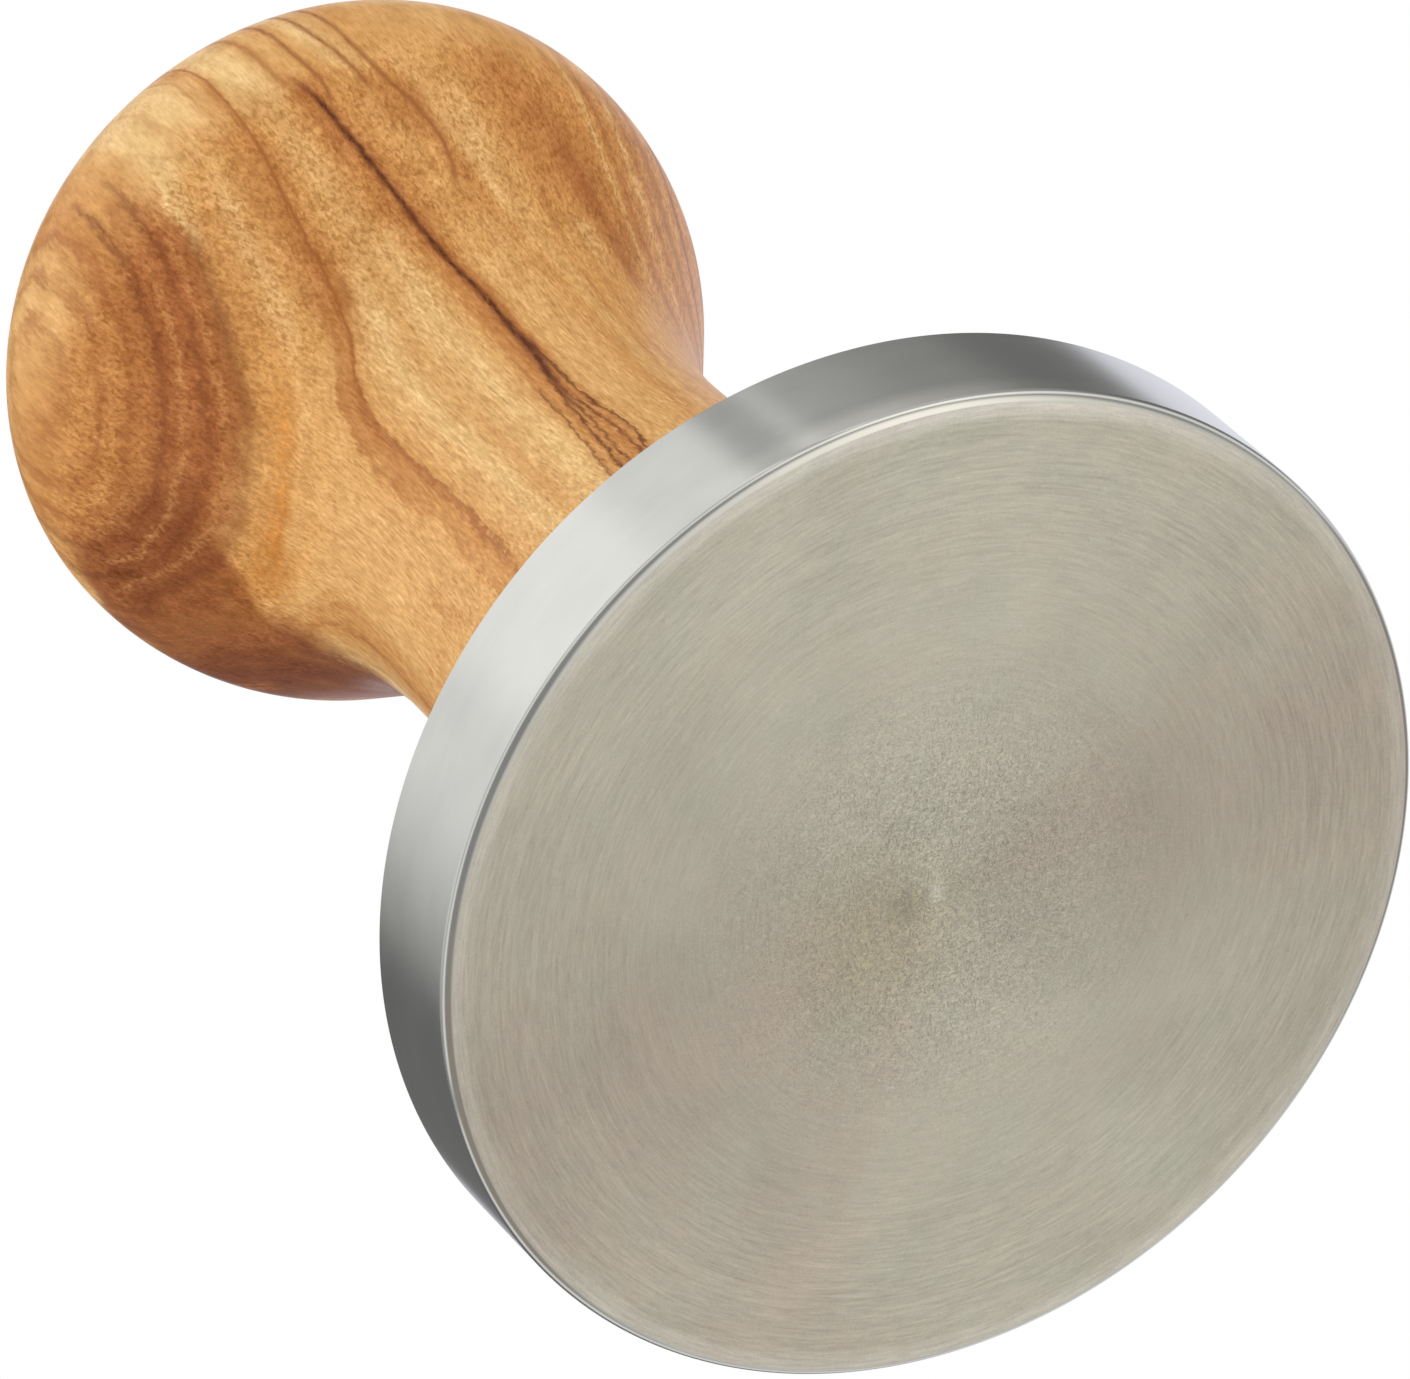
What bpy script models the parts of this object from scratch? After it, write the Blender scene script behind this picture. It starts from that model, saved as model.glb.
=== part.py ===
"""Espresso tamper: a stainless base with a flat 58 mm face, and a turned wooden handle
that screws onto it with an M8 stud.

The frame is the standing tamper: origin at the centre of the tamping face, +Z up to the
knob. All lengths are in metres. Every thread is one right-hand helix, cut in step with
the base's seat, so that the handle lifts one pitch for each turn to the left.
"""

import math

import bmesh
import bpy

# Stainless base
FACE_RADIUS = 0.029
WALL_HEIGHT = 0.0082
FACE_EDGE_RADIUS = 0.0006
REAR_EDGE_CHAMFER = 0.0002
SEAT_HEIGHT = 0.018
SEAT_RADIUS = 0.0165
BELL_TOP_ANGLE = 18.0
BELL_RIM_ANGLE = 80.0
BELL_RIM_HEIGHT = 0.0086

# Wooden handle
WAIST_RADIUS = 0.0123
WAIST_HEIGHT = 0.0455
NECK_ARC_RADIUS = 0.090
WAIST_ARC_RADIUS = 0.032
CONE_ANGLE = 27.0
KNOB_RADIUS = 0.021
KNOB_UNDER_RADIUS = 0.0164
KNOB_UPPER_RADIUS = 0.0103
CROWN_ANGLE = 50.0
FOOT_CHAMFER = 0.0003

# M8 x 1.25 thread, shared by the base, the stud and the insert
PITCH = 0.00125
THREAD_RADIUS = 0.004
THREAD_DEPTH = 0.00072
THREAD_HALF_CLEARANCE = 0.00005
TAP_DRILL_RADIUS = 0.00325
THREAD_STEPS = 20
HOLE_DEPTH = 0.013
HOLE_THREAD_TURNS = 10

# Pieces hidden in the joint
TOUCH_GAP = 0.0003
WASHER_RADIUS = 0.013
WASHER_BORE_RADIUS = 0.0045
WASHER_THICKNESS = 0.001
STUD_LENGTH = 0.025
STUD_ENGAGEMENT = 0.010
STUD_CHAMFER = 0.0009
SOCKET_ACROSS_FLATS = 0.004
SOCKET_DEPTH = 0.0045
INSERT_RADIUS = 0.007
INSERT_LENGTH = 0.016
INSERT_SUNK = 0.0006
GLUE_GROOVES = 3
GLUE_GROOVE_DEPTH = 0.0006
GLUE_GROOVE_WIDTH = 0.0016

BASE_STEPS = 72
HANDLE_STEPS = 56
SMALL_STEPS = 32
MERGE = 0.00001
SHARP_ANGLE = math.radians(35.0)

FOOT_HEIGHT = SEAT_HEIGHT + TOUCH_GAP
RECESS_CEILING = FOOT_HEIGHT + WASHER_THICKNESS + TOUCH_GAP
RECESS_RADIUS = WASHER_RADIUS + TOUCH_GAP
INSERT_FOOT = RECESS_CEILING + INSERT_SUNK


def clear_scene():
    for thing in list(bpy.data.objects):
        bpy.data.objects.remove(thing)


def material(name, colour, roughness, metallic):
    made = bpy.data.materials.new(name)
    made.use_nodes = True
    shader = made.node_tree.nodes["Principled BSDF"]
    shader.inputs["Base Color"].default_value = (*colour, 1.0)
    shader.inputs["Roughness"].default_value = roughness
    shader.inputs["Metallic"].default_value = metallic
    return made


def arc(centre, radius, start, end, steps):
    """Points (radius, height) on a circle, from one angle to another, in degrees."""
    points = []
    for step in range(steps + 1):
        angle = math.radians(start + (end - start) * step / steps)
        points.append((centre[0] + radius * math.cos(angle), centre[1] + radius * math.sin(angle)))
    return points


def link(name, mesh):
    thing = bpy.data.objects.new(name, mesh)
    bpy.context.scene.collection.objects.link(thing)
    return thing


def turned(name, outline, steps):
    """A solid of revolution about Z. The outline runs down its outer side, axis to axis."""
    mesh = bpy.data.meshes.new(name)
    points = [(radius, 0.0, height) for radius, height in outline]
    mesh.from_pydata(points, [(i, i + 1) for i in range(len(points) - 1)], [])
    thing = link(name, mesh)
    screw = thing.modifiers.new("turning", "SCREW")
    screw.axis = "Z"
    screw.angle = math.tau
    screw.steps = steps
    screw.render_steps = steps
    screw.use_merge_vertices = True
    screw.merge_threshold = MERGE
    screw.use_smooth_shade = True
    return thing


def as_cutter(thing):
    thing.hide_render = True
    thing.display_type = "WIRE"
    return thing


def cut(thing, cutter, operation="DIFFERENCE"):
    boolean = thing.modifiers.new(cutter.name, "BOOLEAN")
    boolean.object = cutter
    boolean.operation = operation
    boolean.solver = "EXACT"


def finish(thing, made_of):
    """Gives a piece its material, smooth walls and sharp edges."""
    mesh = bpy.data.meshes.new_from_object(
        thing.evaluated_get(bpy.context.evaluated_depsgraph_get())
    )
    thing.modifiers.clear()
    thing.data = mesh
    mesh.name = thing.name
    mesh.materials.clear()
    mesh.materials.append(made_of)
    mesh.shade_smooth()
    mesh.set_sharp_from_angle(angle=SHARP_ANGLE)
    return thing


def drill(name, radius, bottom, top):
    """A plain round cutter."""
    outline = [(0.0, top), (radius, top), (radius, bottom), (0.0, bottom)]
    return as_cutter(turned(name, outline, SMALL_STEPS))


def thread(name, outer_radius, first_turn, turns):
    """A right-hand threaded rod of that many turns, first_turn pitches above the seat.

    Each pitch of its surface is a root, a flank, a crest and a flank. Both ends are
    helical ramps, and lie outside what the rod cuts or is cut to.
    """
    root = outer_radius - THREAD_DEPTH
    bottom = SEAT_HEIGHT + first_turn * PITCH
    pitch_outline = [
        (root, 0.0),
        (root, PITCH * 4 / 16),
        (outer_radius, PITCH * 9 / 16),
        (outer_radius, PITCH * 11 / 16),
    ]
    mesh = bmesh.new()
    rows = []
    for step in range(turns * THREAD_STEPS + 1):
        angle = math.tau * (step % THREAD_STEPS) / THREAD_STEPS
        lift = bottom + PITCH * step / THREAD_STEPS
        rows.append(
            [
                mesh.verts.new((radius * math.cos(angle), radius * math.sin(angle), lift + rise))
                for radius, rise in pitch_outline
            ]
        )
    for here, ahead in zip(rows, rows[1:]):
        for low in range(len(pitch_outline) - 1):
            mesh.faces.new((here[low], ahead[low], ahead[low + 1], here[low + 1]))
    last = len(rows) - 1 - THREAD_STEPS
    for step in range(last):
        above = step + THREAD_STEPS
        mesh.faces.new((rows[step][-1], rows[step + 1][-1], rows[above + 1][0], rows[above][0]))
    start = mesh.verts.new((0.0, 0.0, bottom + PITCH / 2))
    ramp = [rows[step][0] for step in range(THREAD_STEPS + 1)] + rows[0][:0:-1]
    for one, other in zip(ramp, ramp[1:] + ramp[:1]):
        mesh.faces.new((start, other, one))
    end = mesh.verts.new((0.0, 0.0, bottom + PITCH * (turns + 0.5)))
    ramp = [rows[step][-1] for step in range(last, len(rows))] + rows[-1][-2::-1]
    for one, other in zip(ramp, ramp[1:] + ramp[:1]):
        mesh.faces.new((end, one, other))
    bmesh.ops.recalc_face_normals(mesh, faces=mesh.faces)
    data = bpy.data.meshes.new(name)
    mesh.to_mesh(data)
    mesh.free()
    return as_cutter(link(name, data))


def base_outline():
    """The seat, the bell that flares from it, the rim's wall and the face's edge."""
    top, rim = math.radians(BELL_TOP_ANGLE), math.radians(BELL_RIM_ANGLE)
    drop = SEAT_HEIGHT - FOOT_CHAMFER - BELL_RIM_HEIGHT
    bell_radius = drop / (math.sin(rim) - math.sin(top))
    bell_centre = (
        SEAT_RADIUS + bell_radius * math.cos(top),
        SEAT_HEIGHT - FOOT_CHAMFER + bell_radius * math.sin(top),
    )
    outline = [(0.0, SEAT_HEIGHT), (SEAT_RADIUS - FOOT_CHAMFER, SEAT_HEIGHT)]
    outline += arc(bell_centre, bell_radius, 180 + BELL_TOP_ANGLE, 180 + BELL_RIM_ANGLE, 10)
    outline.append((FACE_RADIUS - REAR_EDGE_CHAMFER, WALL_HEIGHT))
    outline.append((FACE_RADIUS, WALL_HEIGHT - REAR_EDGE_CHAMFER))
    edge_centre = (FACE_RADIUS - FACE_EDGE_RADIUS, FACE_EDGE_RADIUS)
    outline += arc(edge_centre, FACE_EDGE_RADIUS, 0, -90, 4)
    outline.append((0.0, 0.0))
    return outline


def make_base(steel):
    base = turned("tamper_base", base_outline(), BASE_STEPS)
    hole = drill("tap_drill", TAP_DRILL_RADIUS, SEAT_HEIGHT - HOLE_DEPTH, SEAT_HEIGHT + PITCH)
    mouth = as_cutter(
        turned(
            "mouth_countersink",
            [
                (0.0, SEAT_HEIGHT + PITCH),
                (THREAD_RADIUS + PITCH * 1.4, SEAT_HEIGHT + PITCH),
                (0.0, SEAT_HEIGHT - THREAD_RADIUS - PITCH * 0.4),
            ],
            SMALL_STEPS,
        )
    )
    tap_radius = THREAD_RADIUS + THREAD_HALF_CLEARANCE
    tap = thread("base_tap", tap_radius, -HOLE_THREAD_TURNS, HOLE_THREAD_TURNS + 1)
    for cutter in (hole, mouth, tap):
        cut(base, cutter)
    return finish(base, steel)


def handle_outline():
    """The crown, the knob, the cone under it, the waist and the neck down to the foot."""
    cone = math.radians(CONE_ANGLE)
    slope_run = (
        KNOB_RADIUS
        - WAIST_RADIUS
        - (KNOB_UNDER_RADIUS + WAIST_ARC_RADIUS) * (1 - math.cos(cone))
    )
    knob_height = (
        WAIST_HEIGHT
        + (KNOB_UNDER_RADIUS + WAIST_ARC_RADIUS) * math.sin(cone)
        + slope_run / math.tan(cone)
    )
    upper_centre = (KNOB_RADIUS - KNOB_UPPER_RADIUS, knob_height)
    crown = math.radians(CROWN_ANGLE)
    crown_radius = KNOB_UPPER_RADIUS + upper_centre[0] / math.cos(crown)
    crown_centre = (0.0, knob_height - upper_centre[0] * math.tan(crown))
    outline = arc(crown_centre, crown_radius, 90, CROWN_ANGLE, 6)[:-1]
    outline[0] = (0.0, outline[0][1])
    outline += arc(upper_centre, KNOB_UPPER_RADIUS, CROWN_ANGLE, 0, 6)
    under_centre = (KNOB_RADIUS - KNOB_UNDER_RADIUS, knob_height)
    outline += arc(under_centre, KNOB_UNDER_RADIUS, 0, -CONE_ANGLE, 5)[1:]
    waist_centre = (WAIST_RADIUS + WAIST_ARC_RADIUS, WAIST_HEIGHT)
    outline += arc(waist_centre, WAIST_ARC_RADIUS, 180 - CONE_ANGLE, 180, 6)
    neck_centre = (WAIST_RADIUS + NECK_ARC_RADIUS, WAIST_HEIGHT)
    foot_top = FOOT_HEIGHT + FOOT_CHAMFER
    foot_angle = math.degrees(math.asin((WAIST_HEIGHT - foot_top) / NECK_ARC_RADIUS))
    outline += arc(neck_centre, NECK_ARC_RADIUS, 180, 180 + foot_angle, 6)[1:]
    outline.append((outline[-1][0] - FOOT_CHAMFER, FOOT_HEIGHT))
    outline.append((0.0, FOOT_HEIGHT))
    return outline


def make_handle(wood):
    handle = turned("wooden_handle", handle_outline(), HANDLE_STEPS)
    below = FOOT_HEIGHT - PITCH
    recess = drill("washer_recess", RECESS_RADIUS, below, RECESS_CEILING)
    bore_top = INSERT_FOOT + INSERT_LENGTH + INSERT_SUNK
    bore = drill("insert_bore", INSERT_RADIUS + TOUCH_GAP, below, bore_top)
    cut(handle, recess)
    cut(handle, bore)
    return finish(handle, wood)


def make_washer(nylon):
    bottom, top = FOOT_HEIGHT, FOOT_HEIGHT + WASHER_THICKNESS
    outline = [(0.0, top), (WASHER_RADIUS, top), (WASHER_RADIUS, bottom), (0.0, bottom)]
    washer = turned("friction_washer", outline, SMALL_STEPS)
    cut(washer, drill("washer_bore", WASHER_BORE_RADIUS, bottom - PITCH, top + PITCH))
    return finish(washer, nylon)


def insert_outline():
    """A barrel with glue grooves, down its outer side."""
    top = INSERT_FOOT + INSERT_LENGTH
    chamfer = GLUE_GROOVE_DEPTH
    outline = [(0.0, top), (INSERT_RADIUS - chamfer, top), (INSERT_RADIUS, top - chamfer)]
    spacing = INSERT_LENGTH / (GLUE_GROOVES + 1)
    for groove in range(1, GLUE_GROOVES + 1):
        middle = top - spacing * groove
        half = GLUE_GROOVE_WIDTH / 2
        floor = half - GLUE_GROOVE_DEPTH / 2
        outline += [
            (INSERT_RADIUS, middle + half),
            (INSERT_RADIUS - GLUE_GROOVE_DEPTH, middle + floor),
            (INSERT_RADIUS - GLUE_GROOVE_DEPTH, middle - floor),
            (INSERT_RADIUS, middle - half),
        ]
    return outline + [(INSERT_RADIUS, INSERT_FOOT), (0.0, INSERT_FOOT)]


def make_insert(brass):
    insert = turned("threaded_insert", insert_outline(), SMALL_STEPS)
    tap_radius = THREAD_RADIUS + THREAD_HALF_CLEARANCE
    turns = math.ceil((INSERT_LENGTH + INSERT_FOOT - SEAT_HEIGHT) / PITCH) + 2
    cut(insert, thread("insert_tap", tap_radius, -1, turns))
    return finish(insert, brass)


def hexagon(name, across_flats, bottom, top):
    """A hexagonal cutter."""
    mesh = bmesh.new()
    bmesh.ops.create_cone(
        mesh,
        cap_ends=True,
        segments=6,
        radius1=across_flats / math.sqrt(3),
        radius2=across_flats / math.sqrt(3),
        depth=top - bottom,
    )
    bmesh.ops.translate(mesh, verts=mesh.verts, vec=(0.0, 0.0, (top + bottom) / 2))
    data = bpy.data.meshes.new(name)
    mesh.to_mesh(data)
    mesh.free()
    return as_cutter(link(name, data))


def make_stud(steel):
    bottom = SEAT_HEIGHT - STUD_ENGAGEMENT
    top = bottom + STUD_LENGTH
    first_turn = -round(STUD_ENGAGEMENT / PITCH) - 2
    turns = round(STUD_LENGTH / PITCH) + 4
    stud = thread("joining_stud", THREAD_RADIUS - THREAD_HALF_CLEARANCE, first_turn, turns)
    stud.hide_render = False
    stud.display_type = "TEXTURED"
    tip = THREAD_RADIUS - STUD_CHAMFER
    blank = as_cutter(
        turned(
            "stud_blank",
            [
                (0.0, top),
                (tip, top),
                (THREAD_RADIUS, top - STUD_CHAMFER),
                (THREAD_RADIUS, bottom + STUD_CHAMFER),
                (tip, bottom),
                (0.0, bottom),
            ],
            SMALL_STEPS,
        )
    )
    cut(stud, blank, "INTERSECT")
    cut(stud, hexagon("hex_key", SOCKET_ACROSS_FLATS, bottom - PITCH, bottom + SOCKET_DEPTH))
    return finish(stud, steel)


def place_on_joint(pieces):
    """Turning pieces hang from an empty on the thread's axis, at the seat."""
    axis = bpy.data.objects.new("handle_axis", None)
    axis.location = (0.0, 0.0, SEAT_HEIGHT)
    bpy.context.scene.collection.objects.link(axis)
    bpy.context.view_layer.update()
    for piece in pieces:
        piece.parent = axis
        piece.matrix_parent_inverse = axis.matrix_world.inverted()


def main():
    clear_scene()
    stainless = material("stainless_steel", (0.60, 0.59, 0.54), 0.30, 1.0)
    olive_wood = material("olive_wood", (0.62, 0.37, 0.15), 0.42, 0.0)
    nylon = material("washer_nylon", (0.80, 0.78, 0.70), 0.55, 0.0)
    brass = material("brass", (0.70, 0.50, 0.20), 0.32, 1.0)
    stud_steel = material("stud_steel", (0.48, 0.48, 0.47), 0.35, 1.0)
    make_base(stainless)
    handle = make_handle(olive_wood)
    washer = make_washer(nylon)
    insert = make_insert(brass)
    stud = make_stud(stud_steel)
    place_on_joint([handle, washer, insert, stud])


main()
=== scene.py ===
"""Looks of the espresso tamper: turned stainless base, olive-wood handle, and the
washer, insert and stud inside their joint.

Shapes repeat the CAD's outlines with finer steps. The wood's figure is modelled as what it
is: nearly flat growth sheets, which the turned surface cuts into lines and rings.
"""

import math

import bmesh
import bpy
from mathutils import Matrix, Vector


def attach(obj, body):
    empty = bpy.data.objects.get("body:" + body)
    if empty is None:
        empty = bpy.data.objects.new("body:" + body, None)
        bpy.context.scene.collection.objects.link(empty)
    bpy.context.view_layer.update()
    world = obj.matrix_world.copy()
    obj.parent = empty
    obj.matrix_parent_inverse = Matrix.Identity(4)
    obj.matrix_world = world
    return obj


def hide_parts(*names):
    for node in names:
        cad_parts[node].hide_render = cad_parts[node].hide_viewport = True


# Stainless base, as in the CAD (metres)
FACE_RADIUS = 0.029
WALL_HEIGHT = 0.0082
FACE_EDGE_RADIUS = 0.0006
REAR_EDGE_CHAMFER = 0.0002
SEAT_HEIGHT = 0.018
SEAT_RADIUS = 0.0165
BELL_TOP_ANGLE = 18.0
BELL_RIM_ANGLE = 80.0
BELL_RIM_HEIGHT = 0.0086

# Wooden handle, as in the CAD
WAIST_RADIUS = 0.0123
WAIST_HEIGHT = 0.0455
NECK_ARC_RADIUS = 0.090
WAIST_ARC_RADIUS = 0.032
CONE_ANGLE = 27.0
KNOB_RADIUS = 0.021
KNOB_UNDER_RADIUS = 0.0164
KNOB_UPPER_RADIUS = 0.0103
CROWN_ANGLE = 50.0
FOOT_CHAMFER = 0.0003

# Threads and the hidden pieces, as in the CAD
PITCH = 0.00125
THREAD_RADIUS = 0.004
THREAD_DEPTH = 0.00072
THREAD_HALF_CLEARANCE = 0.00005
TAP_DRILL_RADIUS = 0.00325
HOLE_DEPTH = 0.013
HOLE_THREAD_TURNS = 10
MOUTH_RADIUS = THREAD_RADIUS + PITCH * 0.4
TOUCH_GAP = 0.0003
WASHER_RADIUS = 0.013
WASHER_BORE_RADIUS = 0.0045
WASHER_THICKNESS = 0.001
WASHER_EDGE = 0.00012
STUD_LENGTH = 0.025
STUD_ENGAGEMENT = 0.010
STUD_CHAMFER = 0.0009
SOCKET_ACROSS_FLATS = 0.004
SOCKET_DEPTH = 0.0045
INSERT_RADIUS = 0.007
INSERT_LENGTH = 0.016
INSERT_SUNK = 0.0006

FOOT_HEIGHT = SEAT_HEIGHT + TOUCH_GAP
RECESS_CEILING = FOOT_HEIGHT + WASHER_THICKNESS + TOUCH_GAP
RECESS_RADIUS = WASHER_RADIUS + TOUCH_GAP
INSERT_FOOT = RECESS_CEILING + INSERT_SUNK

# Fineness of the visible meshes
TURNED_STEPS = 360
SMALL_STEPS = 96
THREAD_STEPS = 48
ON_AXIS = 0.000001
SHARP_ANGLE = math.radians(32.0)


# --------------------------------------------------------------------------- shapes


def arc(centre, radius, start, end, steps):
    """Points (radius, height) on a circle, from one angle to another, in degrees."""
    points = []
    for step in range(steps + 1):
        angle = math.radians(start + (end - start) * step / steps)
        points.append((centre[0] + radius * math.cos(angle), centre[1] + radius * math.sin(angle)))
    return points


def straight(start, end, steps):
    """The points after start, on a straight line up to and with end."""
    return [
        (
            start[0] + (end[0] - start[0]) * step / steps,
            start[1] + (end[1] - start[1]) * step / steps,
        )
        for step in range(1, steps + 1)
    ]


def link(name, data):
    """Adds an object with that data to the scene."""
    thing = bpy.data.objects.new(name, data)
    bpy.context.scene.collection.objects.link(thing)
    return thing


def turned(name, outline, steps):
    """A solid of revolution about Z. The outline runs down its outer side.

    An outline that starts and ends on the axis makes a solid body, and any other closes
    on itself into a ring.
    """
    shape = bmesh.new()
    rings = []
    for radius, height in outline:
        if radius < ON_AXIS:
            rings.append([shape.verts.new((0.0, 0.0, height))])
            continue
        ring = []
        for step in range(steps):
            angle = math.tau * step / steps
            ring.append(shape.verts.new((radius * math.cos(angle), radius * math.sin(angle), height)))
        rings.append(ring)
    pairs = list(zip(rings, rings[1:]))
    if outline[0][0] > ON_AXIS:
        pairs.append((rings[-1], rings[0]))
    for above, below in pairs:
        for step in range(steps):
            ahead = (step + 1) % steps
            corners = [
                above[step % len(above)],
                below[step % len(below)],
                below[ahead % len(below)],
                above[ahead % len(above)],
            ]
            shape.faces.new(list(dict.fromkeys(corners)))
    bmesh.ops.recalc_face_normals(shape, faces=shape.faces)
    mesh = bpy.data.meshes.new(name)
    shape.to_mesh(mesh)
    shape.free()
    return link(name, mesh)


def thread(name, outer_radius, first_turn, turns):
    """A right-hand threaded rod of that many turns, first_turn pitches above the seat."""
    root = outer_radius - THREAD_DEPTH
    bottom = SEAT_HEIGHT + first_turn * PITCH
    # One pitch, in sixteenths: the root, the lower flank and the crest. The upper flank joins
    # the crest to the next turn's root.
    pitch_outline = [
        (root, 0.0),
        (root, PITCH * 4 / 16),
        (outer_radius, PITCH * 9 / 16),
        (outer_radius, PITCH * 11 / 16),
    ]
    shape = bmesh.new()
    rows = []
    for step in range(turns * THREAD_STEPS + 1):
        angle = math.tau * (step % THREAD_STEPS) / THREAD_STEPS
        lift = bottom + PITCH * step / THREAD_STEPS
        rows.append(
            [
                shape.verts.new((radius * math.cos(angle), radius * math.sin(angle), lift + rise))
                for radius, rise in pitch_outline
            ]
        )
    for here, ahead in zip(rows, rows[1:]):
        for low in range(len(pitch_outline) - 1):
            shape.faces.new((here[low], ahead[low], ahead[low + 1], here[low + 1]))
    last = len(rows) - 1 - THREAD_STEPS
    for step in range(last):
        above = step + THREAD_STEPS
        shape.faces.new((rows[step][-1], rows[step + 1][-1], rows[above + 1][0], rows[above][0]))
    # Each end is closed by a fan round its edge, from a point on the axis
    bottom_edge = [rows[step][0] for step in range(THREAD_STEPS + 1)] + rows[0][:0:-1]
    top_edge = [rows[step][-1] for step in range(last, len(rows))] + rows[-1][-2::-1]
    for edge, turn in ((bottom_edge, 0.5), (top_edge, turns + 0.5)):
        middle = shape.verts.new((0.0, 0.0, bottom + PITCH * turn))
        for one, other in zip(edge, edge[1:] + edge[:1]):
            shape.faces.new((middle, one, other))
    bmesh.ops.recalc_face_normals(shape, faces=shape.faces)
    mesh = bpy.data.meshes.new(name)
    shape.to_mesh(mesh)
    shape.free()
    return link(name, mesh)


def cut(thing, cutter, operation="DIFFERENCE"):
    """Applies one Boolean and removes its cutter."""
    boolean = thing.modifiers.new(cutter.name, "BOOLEAN")
    boolean.object = cutter
    boolean.operation = operation
    boolean.solver = "MANIFOLD"
    bpy.context.view_layer.update()
    mesh = bpy.data.meshes.new_from_object(
        thing.evaluated_get(bpy.context.evaluated_depsgraph_get())
    )
    thing.modifiers.clear()
    thing.data = mesh
    bpy.data.objects.remove(cutter)


def finish(thing, *materials):
    """Gives a piece its materials, and smooth shading between its sharp edges."""
    mesh = thing.data
    mesh.name = thing.name
    mesh.materials.clear()
    for made in materials:
        mesh.materials.append(made)
    mesh.shade_smooth()
    mesh.set_sharp_from_angle(angle=SHARP_ANGLE)
    return thing


def base_outline():
    """The base, from the seat down the bell-shaped back and the wall to the face."""
    top, rim = math.radians(BELL_TOP_ANGLE), math.radians(BELL_RIM_ANGLE)
    drop = SEAT_HEIGHT - FOOT_CHAMFER - BELL_RIM_HEIGHT
    bell_radius = drop / (math.sin(rim) - math.sin(top))
    bell_centre = (
        SEAT_RADIUS + bell_radius * math.cos(top),
        SEAT_HEIGHT - FOOT_CHAMFER + bell_radius * math.sin(top),
    )
    outline = [(0.0, SEAT_HEIGHT), (SEAT_RADIUS - FOOT_CHAMFER, SEAT_HEIGHT)]
    outline += arc(bell_centre, bell_radius, 180 + BELL_TOP_ANGLE, 180 + BELL_RIM_ANGLE, 40)
    outline.append((FACE_RADIUS - REAR_EDGE_CHAMFER, WALL_HEIGHT))
    outline.append((FACE_RADIUS, WALL_HEIGHT - REAR_EDGE_CHAMFER))
    edge_centre = (FACE_RADIUS - FACE_EDGE_RADIUS, FACE_EDGE_RADIUS)
    outline += arc(edge_centre, FACE_EDGE_RADIUS, 0, -90, 16)
    outline.append((0.0, 0.0))
    return outline


def make_base(face_steel, wall_steel):
    base = turned("tamper_base_turned", base_outline(), TURNED_STEPS)
    top = SEAT_HEIGHT + PITCH
    hole_bottom = SEAT_HEIGHT - HOLE_DEPTH
    hole = turned(
        "tap_drill",
        [(0.0, top), (TAP_DRILL_RADIUS, top), (TAP_DRILL_RADIUS, hole_bottom), (0.0, hole_bottom)],
        SMALL_STEPS,
    )
    # A cone of 45 degrees, which is MOUTH_RADIUS wide at the seat
    mouth = turned(
        "mouth_countersink",
        [(0.0, top), (MOUTH_RADIUS + PITCH, top), (0.0, SEAT_HEIGHT - MOUTH_RADIUS)],
        SMALL_STEPS,
    )
    tap_radius = THREAD_RADIUS + THREAD_HALF_CLEARANCE
    tap = thread("base_tap", tap_radius, -HOLE_THREAD_TURNS, HOLE_THREAD_TURNS + 1)
    for cutter in (hole, mouth, tap):
        cut(base, cutter)
    finish(base, wall_steel, face_steel)
    face_top = FACE_EDGE_RADIUS * 0.02
    for polygon in base.data.polygons:
        if polygon.center.z < face_top:
            polygon.material_index = 1
    return base


def handle_outline():
    """The handle's outer side: crown, knob, straight cone, waist and neck, down to the foot."""
    cone = math.radians(CONE_ANGLE)
    slope_run = (
        KNOB_RADIUS
        - WAIST_RADIUS
        - (KNOB_UNDER_RADIUS + WAIST_ARC_RADIUS) * (1 - math.cos(cone))
    )
    knob_height = (
        WAIST_HEIGHT
        + (KNOB_UNDER_RADIUS + WAIST_ARC_RADIUS) * math.sin(cone)
        + slope_run / math.tan(cone)
    )
    upper_centre = (KNOB_RADIUS - KNOB_UPPER_RADIUS, knob_height)
    crown = math.radians(CROWN_ANGLE)
    crown_radius = KNOB_UPPER_RADIUS + upper_centre[0] / math.cos(crown)
    crown_centre = (0.0, knob_height - upper_centre[0] * math.tan(crown))
    outline = arc(crown_centre, crown_radius, 90, CROWN_ANGLE, 40)[:-1]
    outline[0] = (0.0, outline[0][1])
    outline += arc(upper_centre, KNOB_UPPER_RADIUS, CROWN_ANGLE, 0, 24)
    under_centre = (KNOB_RADIUS - KNOB_UNDER_RADIUS, knob_height)
    outline += arc(under_centre, KNOB_UNDER_RADIUS, 0, -CONE_ANGLE, 20)[1:]
    waist_centre = (WAIST_RADIUS + WAIST_ARC_RADIUS, WAIST_HEIGHT)
    waist = arc(waist_centre, WAIST_ARC_RADIUS, 180 - CONE_ANGLE, 180, 32)
    outline += straight(outline[-1], waist[0], 10) + waist[1:]
    neck_centre = (WAIST_RADIUS + NECK_ARC_RADIUS, WAIST_HEIGHT)
    foot_top = FOOT_HEIGHT + FOOT_CHAMFER
    foot_angle = math.degrees(math.asin((WAIST_HEIGHT - foot_top) / NECK_ARC_RADIUS))
    outline += arc(neck_centre, NECK_ARC_RADIUS, 180, 180 + foot_angle, 40)[1:]
    return outline


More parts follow.
